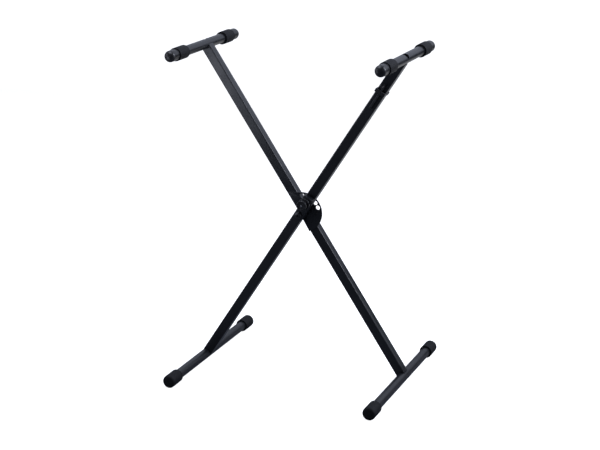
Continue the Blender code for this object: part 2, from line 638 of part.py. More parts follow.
for piece in stand.objects:
    if piece.type == "MESH":
        piece.data.shade_smooth()
        piece.data.set_sharp_from_angle(angle=SMOOTH_ANGLE)
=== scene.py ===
"""Looks of a folding keyboard stand: black tubes, rubber ends and the lock on the crossing."""
import json
from math import acos, atan2, cos, hypot, pi, radians, sin, sqrt

import bpy
from mathutils import Matrix, Vector


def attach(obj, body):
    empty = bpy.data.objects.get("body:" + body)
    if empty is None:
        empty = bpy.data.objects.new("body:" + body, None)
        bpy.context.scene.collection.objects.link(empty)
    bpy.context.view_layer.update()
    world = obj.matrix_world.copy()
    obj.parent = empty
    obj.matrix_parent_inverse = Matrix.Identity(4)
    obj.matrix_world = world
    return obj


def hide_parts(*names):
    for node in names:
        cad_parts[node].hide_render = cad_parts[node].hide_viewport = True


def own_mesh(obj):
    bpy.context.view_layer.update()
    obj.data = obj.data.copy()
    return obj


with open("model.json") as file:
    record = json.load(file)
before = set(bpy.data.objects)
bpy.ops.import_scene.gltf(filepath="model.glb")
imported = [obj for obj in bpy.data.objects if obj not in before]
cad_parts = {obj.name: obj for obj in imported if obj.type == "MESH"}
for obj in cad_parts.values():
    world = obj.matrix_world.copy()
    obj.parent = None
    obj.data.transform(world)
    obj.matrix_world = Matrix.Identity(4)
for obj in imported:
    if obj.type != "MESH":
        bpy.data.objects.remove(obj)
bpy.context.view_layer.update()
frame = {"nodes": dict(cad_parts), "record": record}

# Sizes of the stand, in metres, as its solids have them
CLEAR = 0.0003

# The foot cups of the solids have this many flat sides, and the stand rests on one of them
FACETS = 24

# Legs
LEG_SPAN = 1.000
HALF_ANGLE = radians(33.25)
LEG_WIDTH = 0.0254
LEG_WALL = 0.0015
LEG_CORNER = 0.0028
LEG_CORNER_STEPS = 7
LEG_GAP = 0.010
LEG_SETBACK = 0.005

# Bars
BAR_RADIUS = 0.0127
BAR_WALL = 0.0015
BAR_EASE = 0.0003
TOP_LENGTH = 0.390
FOOT_LENGTH = 0.500

# Soft ends of the bars
SLEEVE_RADIUS = 0.0170
SLEEVE_LENGTH = 0.050
SLEEVE_GROOVE = 0.0015
SLEEVE_EDGE = 0.0016
SLEEVE_FLARE = 0.0014
SLEEVE_FLARE_DEPTH = 0.0030
CAP_LIP = 0.0008
TOP_CAP_RADIUS = 0.0145
TOP_CAP_LENGTH = 0.036
TOP_CAP_END = 0.006
TOP_CAP_DOME = 0.011
TOP_CAP_FLAT = 0.0008
FOOT_CAP_RADIUS = 0.0172
FOOT_CAP_LENGTH = 0.050
FOOT_CAP_END = 0.008
FOOT_CAP_ROUND = 0.006
FOOT_CAP_FLAT = 0.002

# Bolts that hold the bars to the legs
BOLT_RADIUS = 0.004
BOLT_HEAD_RADIUS = 0.0065
BOLT_HEAD_HEIGHT = 0.0080
BOLT_EASE = 0.0006
BOLT_REACH = 0.027
SOCKET_RADIUS = 0.0033
SOCKET_DEPTH = 0.0045
ACCESS_RADIUS = 0.0092

# Pivot
PIVOT_RADIUS = 0.005
PIVOT_BORE = PIVOT_RADIUS + CLEAR
PIVOT_HEAD_RADIUS = 0.0088
PIVOT_HEAD_HEIGHT = 0.0055
PIVOT_HEAD_RIM = 0.001925
PIVOT_HEAD_FLAT = 0.0008
PIVOT_HEAD_EASE = 0.0002
PIVOT_POINT_LENGTH = 0.0008
PIVOT_POINT_RADIUS = 0.0043
PIVOT_WASHER_RADIUS = 0.0105
PIVOT_WASHER_THICKNESS = 0.0015
PIVOT_NUT_RADIUS = 0.0098
PIVOT_NUT_HEIGHT = 0.0095
PIVOT_NUT_EDGE = 0.0004
PIVOT_THREAD_PAST_NUT = 0.002
SPACER_RADIUS = 0.014
RING_EASE = 0.0002

# Lock plate and its holes
PLATE_RADIUS = 0.0523
PLATE_THICKNESS = 0.004
PLATE_REACH = 0.064
PLATE_CORNER_INSET = 0.006
PLATE_EDGE = 0.0004
PLATE_STEPS = 120
HOLE_RADIUS = 0.0060
HOLE_ARC = 0.044
HOLE_COUNT = 5
HOLES_ABOVE_USED = 2
HOLE_PITCH = radians(18)

# Lock on the front leg
PIN_RADIUS = 0.00575
PIN_BORE = PIN_RADIUS + CLEAR
PIN_GROOVE_DEPTH = 0.0006
PIN_NOSE = 0.001
PIN_THREAD_DEPTH = 0.008
COLLAR_RADIUS = 0.0088
COLLAR_THICKNESS = 0.0016
BRACKET_LOW = 0.022
BRACKET_HIGH = 0.064
BRACKET_WIDTH = 0.026
BRACKET_HEIGHT = 0.018
BRACKET_WALL = 0.002
BRACKET_EDGE = 0.0012
GUIDE_RADIUS = 0.015
GUIDE_FLANGE = 0.004
GUIDE_NECK_RADIUS = 0.009
GUIDE_NECK_EASE = 0.0005
GUIDE_HEIGHT = 0.0065
GUIDE_EDGE = 0.0012
KNOB_RADIUS = 0.013
KNOB_WAIST = 0.0098
KNOB_EASE = 0.0004
KNOB_LENGTH = 0.0135
KNOB_DISC = 0.0055
KNOB_EDGE = 0.0012
KNOB_RECESS = 0.0016
KNOB_RECESS_FLOOR = 0.0098
KNOB_RECESS_MOUTH = 0.0106
KNOB_WEB = 0.003
SCREW_RADIUS = 0.002
SCREW_BORE = 0.0023
SCREW_LENGTH = 0.01
SCREW_HEAD_RADIUS = 0.0026
SCREW_HEAD_HEIGHT = 0.0012
SCREW_HEAD_EDGE = 0.0008
SCREW_HEAD_FLAT = 0.0014
SCREW_SLOT = (0.0026, 0.0007, 0.0012)
SPRING_WIRE = 0.0007
SPRING_RADIUS = 0.0076
SPRING_TURNS = 5
SPRING_STEPS = 28

# Hex key and its clip
KEY_RADIUS = 0.0029
KEY_LIFT = 0.0006
KEY_TOP = 0.424
KEY_LONG_ARM = 0.072
KEY_SHORT_ARM = 0.028
KEY_BEND = 0.006
KEY_BEND_STEPS = 10
CLIP_WALL = 0.0015
CLIP_FROM_TOP = 0.0175
CLIP_LENGTH = 0.010
CLIP_CORNER = 0.002
CLIP_CORNER_STEPS = 5
CLIP_EDGE = 0.0003

# How finely the pieces are made
ROUND = 72
SMALL_ROUND = 40
WELD = 0.000005
CURVE_WELD = 0.00001
PLATE_CUT = 0.020
NUT_CUT = 0.030
END_FACE_NORMAL = 0.9
SMOOTH_ANGLE = radians(32)
EDGE_ANGLE = radians(50)
NUT_EDGE_ANGLE = radians(40)

# The part of a noise's values over which a finish changes
TINT_START = 0.35
TINT_END = 0.65
DRIFT_START = 0.3
DRIFT_END = 0.7

# Worked out from the sizes above
FRONT_FACE = -LEG_GAP / 2 - LEG_WIDTH
REAR_FACE = LEG_GAP / 2 + LEG_WIDTH
PLATE_BACK = LEG_GAP / 2 - CLEAR
PLATE_FRONT = PLATE_BACK - PLATE_THICKNESS
LEG_DEPTH = (LEG_GAP + LEG_WIDTH) / 2
BAR_BORE = BAR_RADIUS - BAR_WALL
CAP_BORE = BAR_RADIUS + CLEAR
BRACKET_FACE = FRONT_FACE - BRACKET_HEIGHT
COLLAR_BACK = FRONT_FACE - CLEAR
KNOB_BACK = BRACKET_FACE - CLEAR - GUIDE_HEIGHT - CLEAR
PIVOT = Vector((0, 0, FOOT_CAP_RADIUS * cos(pi / FACETS) + LEG_SPAN / 2 * cos(HALF_ANGLE)))
REAR = Matrix.Translation(PIVOT) @ Matrix.Rotation(-HALF_ANGLE, 4, "Y")
FRONT = Matrix.Translation(PIVOT) @ Matrix.Rotation(HALF_ANGLE, 4, "Y")
TO_PLUS_Y = Matrix.Rotation(-pi / 2, 4, "X")
TO_MINUS_Y = Matrix.Rotation(pi / 2, 4, "X")
UPWARD = Matrix.Identity(4)
DOWNWARD = Matrix.Rotation(pi, 4, "X")
OUTWARD = {-1: TO_MINUS_Y, 1: TO_PLUS_Y}


# Materials

def start_material(name, colour, roughness, metallic=0.0, level=0.5):
    """A Principled material and its nodes."""
    finish = bpy.data.materials.new(name)
    finish.use_nodes = True
    tree = finish.node_tree
    shader = tree.nodes["Principled BSDF"]
    shader.inputs["Base Color"].default_value = (*colour, 1)
    shader.inputs["Roughness"].default_value = roughness
    shader.inputs["Metallic"].default_value = metallic
    shader.inputs["Specular IOR Level"].default_value = level
    return finish, tree, shader


def add_noise(tree, scale, detail, stretch=(1, 1, 1)):
    """Noise on the piece's own coordinates."""
    place = tree.nodes.new("ShaderNodeTexCoord")
    mapping = tree.nodes.new("ShaderNodeMapping")
    mapping.inputs["Scale"].default_value = stretch
    noise = tree.nodes.new("ShaderNodeTexNoise")
    noise.inputs["Scale"].default_value = scale
    noise.inputs["Detail"].default_value = detail
    tree.links.new(place.outputs["Object"], mapping.inputs["Vector"])
    tree.links.new(mapping.outputs["Vector"], noise.inputs["Vector"])
    return noise


def add_ramp(tree, source, low, high):
    """Turns a noise into a range of colours."""
    ramp = tree.nodes.new("ShaderNodeValToRGB")
    ramp.color_ramp.elements[0].position = TINT_START
    ramp.color_ramp.elements[1].position = TINT_END
    ramp.color_ramp.elements[0].color = (*low, 1)
    ramp.color_ramp.elements[1].color = (*high, 1)
    tree.links.new(source.outputs["Fac"], ramp.inputs["Fac"])
    return ramp


def map_range(tree, source, start, end, low, high):
    """Maps a value from one range to another."""
    spread = tree.nodes.new("ShaderNodeMapRange")
    spread.inputs["From Min"].default_value = start
    spread.inputs["From Max"].default_value = end
    spread.inputs["To Min"].default_value = low
    spread.inputs["To Max"].default_value = high
    tree.links.new(source, spread.inputs["Value"])
    return spread


def add_bump(tree, shader, source, strength, distance):
    """Raises the surface by a noise."""
    bump = tree.nodes.new("ShaderNodeBump")
    bump.inputs["Strength"].default_value = strength
    bump.inputs["Distance"].default_value = distance
    tree.links.new(source.outputs["Fac"], bump.inputs["Height"])
    tree.links.new(bump.outputs["Normal"], shader.inputs["Normal"])


def make_finish(name, colour, roughness, grain, tints, gloss, bump, cloud=None, metallic=0.0, level=0.5):
    """A finish with a fine grain in relief, and colour and gloss that drift over its cloud or its grain."""
    finish, tree, shader = start_material(name, colour, roughness, metallic, level)
    fine = add_noise(tree, **grain)
    broad = add_noise(tree, **cloud) if cloud else fine
    tint = add_ramp(tree, broad, *tints)
    tree.links.new(tint.outputs["Color"], shader.inputs["Base Color"])
    drift = map_range(tree, broad.outputs["Fac"], DRIFT_START, DRIFT_END, *gloss)
    tree.links.new(drift.outputs["Result"], shader.inputs["Roughness"])
    add_bump(tree, shader, fine, **bump)
    return finish


# Semi-gloss black powder coat with a faint orange peel
powder_coat = make_finish(
    "powder_coat",
    colour=(0.008, 0.009, 0.012),
    roughness=0.34,
    grain={"scale": 620, "detail": 2.0},
    cloud={"scale": 14, "detail": 4.0},
    tints=((0.006, 0.0068, 0.009), (0.010, 0.0112, 0.0145)),
    gloss=(0.29, 0.40),
    bump={"strength": 0.22, "distance": 0.00012},
)

# Matt rubber with a fine moulded grain
moulded_rubber = make_finish(
    "moulded_rubber",
    colour=(0.006, 0.0064, 0.008),
    roughness=0.62,
    grain={"scale": 1500, "detail": 4.0},
    cloud={"scale": 30, "detail": 3.0},
    tints=((0.0045, 0.0048, 0.006), (0.009, 0.0096, 0.012)),
    gloss=(0.58, 0.76),
    bump={"strength": 0.5, "distance": 0.00015},
    level=0.2,
)

# Black moulded plastic with a light spark-eroded texture
moulded_plastic = make_finish(
    "moulded_plastic",
    colour=(0.007, 0.0073, 0.009),
    roughness=0.38,
    grain={"scale": 2200, "detail": 2.0},
    cloud={"scale": 45, "detail": 3.0},
    tints=((0.0055, 0.0058, 0.007), (0.010, 0.0105, 0.0125)),
    gloss=(0.32, 0.44),
    bump={"strength": 0.25, "distance": 0.0001},
)

# Blackened steel of the bolts and the hex key, with a faint drawn grain
black_oxide = make_finish(
    "black_oxide",
    colour=(0.05, 0.05, 0.055),
    roughness=0.36,
    metallic=0.85,
    grain={"scale": 260, "detail": 4.0, "stretch": (1, 1, 6)},
    tints=((0.035, 0.035, 0.040), (0.075, 0.075, 0.080)),
    gloss=(0.28, 0.46),
    bump={"strength": 0.15, "distance": 0.00008},
)

# Bright zinc plate with turning marks
zinc_plate = make_finish(
    "zinc_plate",
    colour=(0.56, 0.56, 0.57),
    roughness=0.26,
    metallic=1.0,
    grain={"scale": 900, "detail": 3.0, "stretch": (0.2, 5, 0.2)},
    tints=((0.46, 0.46, 0.48), (0.64, 0.64, 0.64)),
    gloss=(0.2, 0.36),
    bump={"strength": 0.12, "distance": 0.00005},
)

FINISHES = {
    "black_coat": powder_coat,
    "rubber": moulded_rubber,
    "black_plastic": moulded_plastic,
    "black_steel": black_oxide,
    "bright_steel": zinc_plate,
}


# Making pieces

def select_only(piece):
    """Leaves one object selected and active."""
    bpy.ops.object.select_all(action="DESELECT")
    piece.select_set(True)
    bpy.context.view_layer.objects.active = piece


def start_piece(name):
    """Names the primitive that was just added."""
    piece = bpy.context.object
    piece.name = name
    piece.data.name = name
    return piece


def turn_piece(name, rings, segments=ROUND, hollow=False):
    """Extrudes a circle from ring to ring of (radius, height), and caps it or joins it up as a tube."""
    bpy.ops.object.select_all(action="DESELECT")
    radius, height = rings[0]
    start = (0, 0, height)
    bpy.ops.mesh.primitive_circle_add(vertices=segments, radius=radius, location=start, fill_type="NOTHING")
    piece = start_piece(name)
    bpy.ops.object.transform_apply(location=True, rotation=True, scale=True)
    bpy.ops.object.mode_set(mode="EDIT")
    bpy.ops.mesh.select_all(action="SELECT")
    for wider, higher in rings[1:] + (rings[:1] if hollow else []):
        bpy.ops.mesh.extrude_region_move(TRANSFORM_OT_translate={"value": (0, 0, higher - height)})
        if wider != radius:
            share = wider / radius
            bpy.ops.transform.resize(value=(share, share, 1), center_override=(0, 0, higher))
        radius, height = wider, higher
    bpy.ops.mesh.select_all(action="SELECT")
    bpy.ops.mesh.remove_doubles(threshold=WELD)
    if not hollow:
        bpy.ops.mesh.select_all(action="SELECT")
        bpy.ops.mesh.fill_holes(sides=0)
    bpy.ops.mesh.select_all(action="SELECT")
    bpy.ops.mesh.normals_make_consistent(inside=False)
    bpy.ops.object.mode_set(mode="OBJECT")
    return piece


def arc(centre_radius, centre_height, radius, start, end, steps):
    """Rings along an arc, with angles counted from the outward direction."""
    turns = [start + (end - start) * k / steps for k in range(steps + 1)]
    return [(centre_radius + radius * cos(t), centre_height + radius * sin(t)) for t in turns]


def dome(radius, base, height, steps):
    """Rings of a dome, from just below its crown down to its rim."""
    turns = [pi / 2 * (1 - k / steps) for k in range(1, steps + 1)]
    return [(radius * cos(t), base + height * sin(t)) for t in turns]


def apply_modifiers(piece):
    """Applies what a piece carries."""
    select_only(piece)
    for modifier in list(piece.modifiers):
        bpy.ops.object.modifier_apply(modifier=modifier.name)


def ease_edges(piece, width, angle=EDGE_ANGLE):
    """Bevels the edges that are sharper than an angle."""
    edge = piece.modifiers.new("edge", "BEVEL")
    edge.width = width
    edge.segments = 2
    edge.limit_method = "ANGLE"
    edge.angle_limit = angle
    apply_modifiers(piece)


def cut_with(piece, tool):
    """Takes a tool's shape out of a piece and removes the tool."""
    boolean = piece.modifiers.new("cut", "BOOLEAN")
    boolean.operation = "DIFFERENCE"
    boolean.solver = "EXACT"
    boolean.object = tool
    apply_modifiers(piece)
    bpy.data.objects.remove(tool)


def drill(piece, radius, length, location, along=UPWARD, sides=SMALL_ROUND):
    """Drills a hole, round or with a few flat sides, in a piece that isn't on its leg yet."""
    bpy.ops.object.select_all(action="DESELECT")
    bpy.ops.mesh.primitive_cylinder_add(vertices=sides, radius=radius, depth=length)
    tool = start_piece("drill")
    tool.matrix_world = Matrix.Translation(location) @ along
    bpy.context.view_layer.update()
    cut_with(piece, tool)


def box_piece(name, size, location, bevel=0, segments=1, only_upright=False):
    """A box at its size and place, with its edges bevelled in edit mode."""
    bpy.ops.object.select_all(action="DESELECT")
    bpy.ops.mesh.primitive_cube_add(size=1, location=location)
    piece = start_piece(name)
    piece.scale = size
    bpy.ops.object.transform_apply(location=True, rotation=True, scale=True)
    if not bevel:
        return piece
    bpy.ops.object.mode_set(mode="EDIT")
    bpy.ops.mesh.select_all(action="DESELECT")
    bpy.ops.object.mode_set(mode="OBJECT")
    for edge in piece.data.edges:
        a, b = (piece.data.vertices[k].co for k in edge.vertices)
        edge.select = not only_upright or abs(a.z - b.z) > size[2] / 2
    bpy.ops.object.mode_set(mode="EDIT")
    bpy.ops.mesh.select_mode(type="EDGE")
    bpy.ops.mesh.bevel(offset=bevel, segments=segments, affect="EDGES")
    bpy.ops.mesh.select_mode(type="VERT")
    bpy.ops.object.mode_set(mode="OBJECT")
    return piece


def shape_curve(name, points, closed=False, flat_thickness=0.0, wire_radius=0.0, corners=2):
    """A wire or a flat plate from a curve, made a mesh."""
    curve = bpy.data.curves.new(name, "CURVE")
    curve.dimensions = "2D" if flat_thickness else "3D"
    if flat_thickness:
        curve.fill_mode = "BOTH"
        curve.extrude = flat_thickness / 2
    else:
        curve.bevel_depth = wire_radius
        curve.bevel_resolution = corners
        curve.use_fill_caps = True
    spline = curve.splines.new("POLY")
    spline.points.add(len(points) - 1)
    for place, point in zip(spline.points, points):
        place.co = (*point, 1)
    spline.use_cyclic_u = closed
    piece = bpy.data.objects.new(name, curve)
    bpy.context.scene.collection.objects.link(piece)
    select_only(piece)
    bpy.ops.object.convert(target="MESH")
    piece = bpy.context.object
    bpy.ops.object.mode_set(mode="EDIT")
    bpy.ops.mesh.select_all(action="SELECT")
    bpy.ops.mesh.remove_doubles(threshold=CURVE_WELD)
    bpy.ops.mesh.normals_make_consistent(inside=False)
    bpy.ops.object.mode_set(mode="OBJECT")
    return piece


def place_piece(piece, leg, location=(0, 0, 0), along=UPWARD):
    """Moves a piece's mesh to its place on a leg and leaves its object at the origin."""
    select_only(piece)
    piece.matrix_world = leg @ Matrix.Translation(location) @ along
    bpy.context.view_layer.update()
    bpy.ops.object.transform_apply(location=True, rotation=True, scale=True)


def hand_over(piece, body, slot, *nodes):
    """Gives a placed piece its finish, its body and the nodes it stands for."""
    piece.data.materials.clear()
    piece.data.materials.append(FINISHES[slot])
    select_only(piece)
    bpy.ops.object.shade_smooth_by_angle(angle=SMOOTH_ANGLE)
    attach(piece, body)
    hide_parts(*nodes)


# Legs

def make_leg(node, leg, body, depth, pin_hole):
    """A square tube with rolled corners, coped over its bars."""
    size = (LEG_WIDTH, LEG_WIDTH, LEG_SPAN - 2 * LEG_SETBACK)
    tube = box_piece(node + "_tube", size, (0, depth, 0), LEG_CORNER, LEG_CORNER_STEPS, True)
    bpy.ops.object.mode_set(mode="EDIT")
    bpy.ops.mesh.select_mode(type="FACE")
    bpy.ops.mesh.select_all(action="DESELECT")
    bpy.ops.object.mode_set(mode="OBJECT")
    for face in tube.data.polygons:
        face.select = abs(face.normal.z) > END_FACE_NORMAL
    bpy.ops.object.mode_set(mode="EDIT")
    bpy.ops.mesh.delete(type="FACE")
    bpy.ops.mesh.select_mode(type="VERT")
    bpy.ops.object.mode_set(mode="OBJECT")
    wall = tube.modifiers.new("wall", "SOLIDIFY")
    wall.thickness = LEG_WALL
    wall.offset = -1
    apply_modifiers(tube)
    through = 2 * LEG_WIDTH
    for end in (-1, 1):
        drill(tube, BAR_RADIUS + CLEAR, through, (0, depth, end * LEG_SPAN / 2), TO_PLUS_Y, ROUND)
    drill(tube, PIVOT_BORE, through, (0, depth, 0), TO_PLUS_Y)
    if pin_hole:
        drill(tube, PIN_BORE, through, (0, depth, HOLE_ARC), TO_PLUS_Y)
    place_piece(tube, leg)
    hand_over(tube, body, "black_coat", node)


# Bars and their soft ends

def make_bar(node, leg, body, depth, end, length):
    """A round tube with eased ends, the bolt's access hole and the bolt inside it."""
    half = length / 2
    rings = [(BAR_BORE, half), (BAR_RADIUS - BAR_EASE, half), (BAR_RADIUS, half - BAR_EASE)]
    rings += [(BAR_RADIUS, BAR_EASE - half), (BAR_RADIUS - BAR_EASE, -half), (BAR_BORE, -half)]
    bar = turn_piece(node + "_tube", rings, hollow=True)
    place_piece(bar, UPWARD, (0, 0, end * LEG_SPAN / 2), TO_PLUS_Y)
    drill(bar, ACCESS_RADIUS, 2 * BAR_RADIUS, (0, depth, end * (LEG_SPAN / 2 + BAR_RADIUS)))
    drill(bar, BOLT_RADIUS + CLEAR, BAR_RADIUS, (0, depth, end * (LEG_SPAN / 2 - BAR_RADIUS)))
    place_piece(bar, leg)
    hand_over(bar, body, "black_coat", node)

    seat = LEG_SPAN / 2 - sqrt(BAR_BORE ** 2 - BOLT_HEAD_RADIUS ** 2) + CLEAR
    tip = LEG_SPAN / 2 - BAR_RADIUS - 2 * CLEAR - BOLT_REACH - seat
    head = BOLT_HEAD_HEIGHT
    rings = [(BOLT_HEAD_RADIUS - BOLT_EASE, head), (BOLT_HEAD_RADIUS, head - BOLT_EASE)]
    rings += [(BOLT_HEAD_RADIUS, 0), (BOLT_RADIUS, 0)]
    rings += [(BOLT_RADIUS, tip + BOLT_EASE), (BOLT_RADIUS - BOLT_EASE, tip)]
    bolt = turn_piece(node + "_socket_bolt", rings, SMALL_ROUND)
    drill(bolt, SOCKET_RADIUS, 2 * SOCKET_DEPTH, (0, 0, head), sides=6)
    place_piece(bolt, leg, (0, depth, end * seat), UPWARD if end > 0 else DOWNWARD)
    hand_over(bolt, body, "black_steel", node + "_bolt")


def make_sleeve(node, leg, body, mouth, side):
    """The rubber sleeve on which a keyboard rests, flared a little where the bar enters it."""
    face = SLEEVE_RADIUS - SLEEVE_EDGE
    flare = CAP_BORE + SLEEVE_FLARE
    rings = [(CAP_BORE, SLEEVE_LENGTH)]
    rings += arc(face, SLEEVE_LENGTH - SLEEVE_EDGE, SLEEVE_EDGE, pi / 2, 0, steps=6)
    rings += arc(face, SLEEVE_EDGE, SLEEVE_EDGE, 0, -pi / 2, steps=6)
    rings += [(flare, 0), (flare, SLEEVE_FLARE_DEPTH), (CAP_BORE, SLEEVE_FLARE_DEPTH)]
    sleeve = turn_piece(node + "_rubber", rings, hollow=True)
    start = mouth - SLEEVE_GROOVE - SLEEVE_LENGTH
    place_piece(sleeve, leg, (0, side * start, LEG_SPAN / 2), OUTWARD[side])
    hand_over(sleeve, body, "rubber", node)


def make_cap(node, leg, body, slot, crown, radius, floor, at, side, end):
    """A cap pushed over the end of a bar, with a rolled lip at its mouth."""
    lip = arc(radius - CAP_LIP, CAP_LIP, CAP_LIP, 0, -pi / 2, steps=5)
    cap = turn_piece(node + "_moulding", crown + lip + [(CAP_BORE, 0), (CAP_BORE, floor)])
    place_piece(cap, leg, (0, side * at, end * LEG_SPAN / 2), OUTWARD[side])
    hand_over(cap, body, slot, node)


def make_top_ends(node, leg, body):
    """The domed cap and the sleeve at each end of a top bar."""
    crown = [(TOP_CAP_FLAT, TOP_CAP_LENGTH)]
    crown += dome(TOP_CAP_RADIUS, TOP_CAP_LENGTH - TOP_CAP_DOME, TOP_CAP_DOME, steps=14)
    mouth = TOP_LENGTH / 2 - TOP_CAP_LENGTH
    floor = TOP_CAP_LENGTH - TOP_CAP_END
    for side, where in ((-1, "front"), (1, "rear")):
        name = f"{node}_cap_{where}"
        make_cap(name, leg, body, "black_plastic", crown, TOP_CAP_RADIUS, floor, mouth, side, 1)
        make_sleeve(f"{node}_sleeve_{where}", leg, body, mouth, side)


def make_foot_ends(node, leg, body):
    """The rubber cup at each end of a foot bar."""
    centre = (FOOT_CAP_RADIUS - FOOT_CAP_ROUND, FOOT_CAP_LENGTH - FOOT_CAP_ROUND)
    crown = [(FOOT_CAP_FLAT, FOOT_CAP_LENGTH)] + arc(*centre, FOOT_CAP_ROUND, pi / 2, 0, steps=10)
    mouth = FOOT_LENGTH / 2 - FOOT_CAP_LENGTH
    floor = FOOT_CAP_LENGTH - FOOT_CAP_END
    for side, where in ((-1, "front"), (1, "rear")):
        name = f"{node}_cap_{where}"
        make_cap(name, leg, body, "rubber", crown, FOOT_CAP_RADIUS, floor, mouth, side, -1)


# Pivot and lock

def make_plate():
    """The half-moon lock plate with eased edges and its row of holes."""
    half = LEG_WIDTH / 2
    corner = (PLATE_CORNER_INSET - half, PLATE_REACH, 0)
    first = atan2(PLATE_REACH, corner[0]) - acos(PLATE_RADIUS / hypot(corner[0], PLATE_REACH))
    last = -acos(-half / PLATE_RADIUS)
    turns = [first + (last - first) * k / PLATE_STEPS for k in range(PLATE_STEPS + 1)]
    outline = [(PLATE_RADIUS * cos(t), PLATE_RADIUS * sin(t), 0) for t in turns] + [corner]
    plate = shape_curve("lock_plate_steel", outline, closed=True, flat_thickness=PLATE_THICKNESS)
    used = pi / 2 - 2 * HALF_ANGLE
    for k in range(HOLE_COUNT):
        turn = used + (HOLES_ABOVE_USED - k) * HOLE_PITCH
        drill(plate, HOLE_RADIUS, PLATE_CUT, (HOLE_ARC * cos(turn), HOLE_ARC * sin(turn), 0))
    drill(plate, PIVOT_BORE, PLATE_CUT, (0, 0, 0))
    ease_edges(plate, PLATE_EDGE)
    place_piece(plate, REAR, (0, PLATE_BACK - PLATE_THICKNESS / 2, 0), TO_MINUS_Y)
    hand_over(plate, "rear_leg_body", "black_coat", "lock_plate")


def make_ring(node, leg, body, slot, inner, outer, thickness, at, along):
    """A washer or spacer with eased rims."""
    eased = outer - RING_EASE
    rings = [(inner, thickness), (eased, thickness), (outer, thickness - RING_EASE)]
    rings += [(outer, RING_EASE), (eased, 0), (inner, 0)]
    piece = turn_piece(node + "_ring", rings, SMALL_ROUND, hollow=True)
    place_piece(piece, leg, at, along)
    hand_over(piece, body, slot, node)


def make_washers():
    """The washers outside the legs and the spacer between them."""
    size = (PIVOT_BORE, PIVOT_WASHER_RADIUS, PIVOT_WASHER_THICKNESS)
    for where, depth, along in (
        ("front", FRONT_FACE - CLEAR, TO_MINUS_Y),
        ("rear", REAR_FACE + CLEAR, TO_PLUS_Y),
    ):
        name = "pivot_washer_" + where
        make_ring(name, REAR, "rear_leg_body", "black_steel", *size, (0, depth, 0), along)
    front = -LEG_GAP / 2 + CLEAR
    size = (PIVOT_BORE, SPACER_RADIUS, PLATE_FRONT - CLEAR - front)
    make_ring("pivot_spacer", REAR, "rear_leg_body", "black_plastic", *size, (0, front, 0), TO_PLUS_Y)


def make_pivot_bolt():
    """The pivot bolt with its domed head, and the lock nut behind the rear leg."""
    head = PIVOT_HEAD_HEIGHT
    rim = PIVOT_HEAD_RIM
    under_head = FRONT_FACE - PIVOT_WASHER_THICKNESS - 2 * CLEAR
    nut_face = REAR_FACE + PIVOT_WASHER_THICKNESS + 2 * CLEAR
    tip = under_head - nut_face - PIVOT_NUT_HEIGHT - PIVOT_THREAD_PAST_NUT
    rings = [(PIVOT_HEAD_FLAT, head)] + dome(PIVOT_HEAD_RADIUS, rim, head - rim, steps=9)
    rings += [(PIVOT_HEAD_RADIUS, PIVOT_HEAD_EASE), (PIVOT_HEAD_RADIUS - PIVOT_HEAD_EASE, 0)]
    rings += [(PIVOT_RADIUS, 0), (PIVOT_RADIUS, tip + PIVOT_POINT_LENGTH), (PIVOT_POINT_RADIUS, tip)]
    bolt = turn_piece("pivot_bolt_steel", rings, SMALL_ROUND)
    drill(bolt, SOCKET_RADIUS, 2 * SOCKET_DEPTH, (0, 0, head), sides=6)
    place_piece(bolt, REAR, (0, under_head, 0), TO_MINUS_Y)
    hand_over(bolt, "rear_leg_body", "black_steel", "pivot_bolt")

    height = PIVOT_NUT_HEIGHT
    bpy.ops.object.select_all(action="DESELECT")
    at = (0, 0, height / 2)
    bpy.ops.mesh.primitive_cylinder_add(vertices=6, radius=PIVOT_NUT_RADIUS, depth=height, location=at)
    nut = start_piece("pivot_nut_steel")
    bpy.ops.object.transform_apply(location=True, rotation=True, scale=True)
    drill(nut, PIVOT_BORE, NUT_CUT, (0, 0, 0))
    ease_edges(nut, PIVOT_NUT_EDGE, NUT_EDGE_ANGLE)
    place_piece(nut, REAR, (0, nut_face, 0), TO_PLUS_Y)
    hand_over(nut, "rear_leg_body", "black_steel", "pivot_nut")


def make_bracket():
    """The welded bridge that backs the spring, and the round guide in front of it."""
    back = FRONT_FACE - CLEAR
    depth = back - BRACKET_FACE
    tall = BRACKET_HIGH - BRACKET_LOW
    middle = (BRACKET_LOW + BRACKET_HIGH) / 2
    size = (BRACKET_WIDTH, depth, tall)
    at = (0, (back + BRACKET_FACE) / 2, middle)
    bracket = box_piece("lock_bracket_steel", size, at, BRACKET_EDGE, segments=4)
    size = (2 * BRACKET_WIDTH, 2 * (depth - BRACKET_WALL), tall - 2 * BRACKET_WALL)
    cut_with(bracket, box_piece("room", size, (0, back, middle)))
    drill(bracket, PIN_BORE, BRACKET_HEIGHT, (0, BRACKET_FACE, HOLE_ARC), TO_PLUS_Y)
    place_piece(bracket, FRONT)
    hand_over(bracket, "front_leg_body", "black_coat", "lock_bracket")

    neck = GUIDE_NECK_RADIUS
    rings = [(PIN_BORE, GUIDE_HEIGHT), (neck - GUIDE_NECK_EASE, GUIDE_HEIGHT)]
    rings += [(neck, GUIDE_HEIGHT - GUIDE_NECK_EASE), (neck, GUIDE_FLANGE)]
    rings += arc(GUIDE_RADIUS - GUIDE_EDGE, GUIDE_FLANGE - GUIDE_EDGE, GUIDE_EDGE, pi / 2, 0, steps=6)
    rings += [(GUIDE_RADIUS, 0), (PIN_BORE, 0)]
    guide = turn_piece("lock_guide_moulding", rings, hollow=True)
    place_piece(guide, FRONT, (0, BRACKET_FACE - CLEAR, HOLE_ARC), TO_MINUS_Y)
    hand_over(guide, "front_leg_body", "black_plastic", "lock_guide")


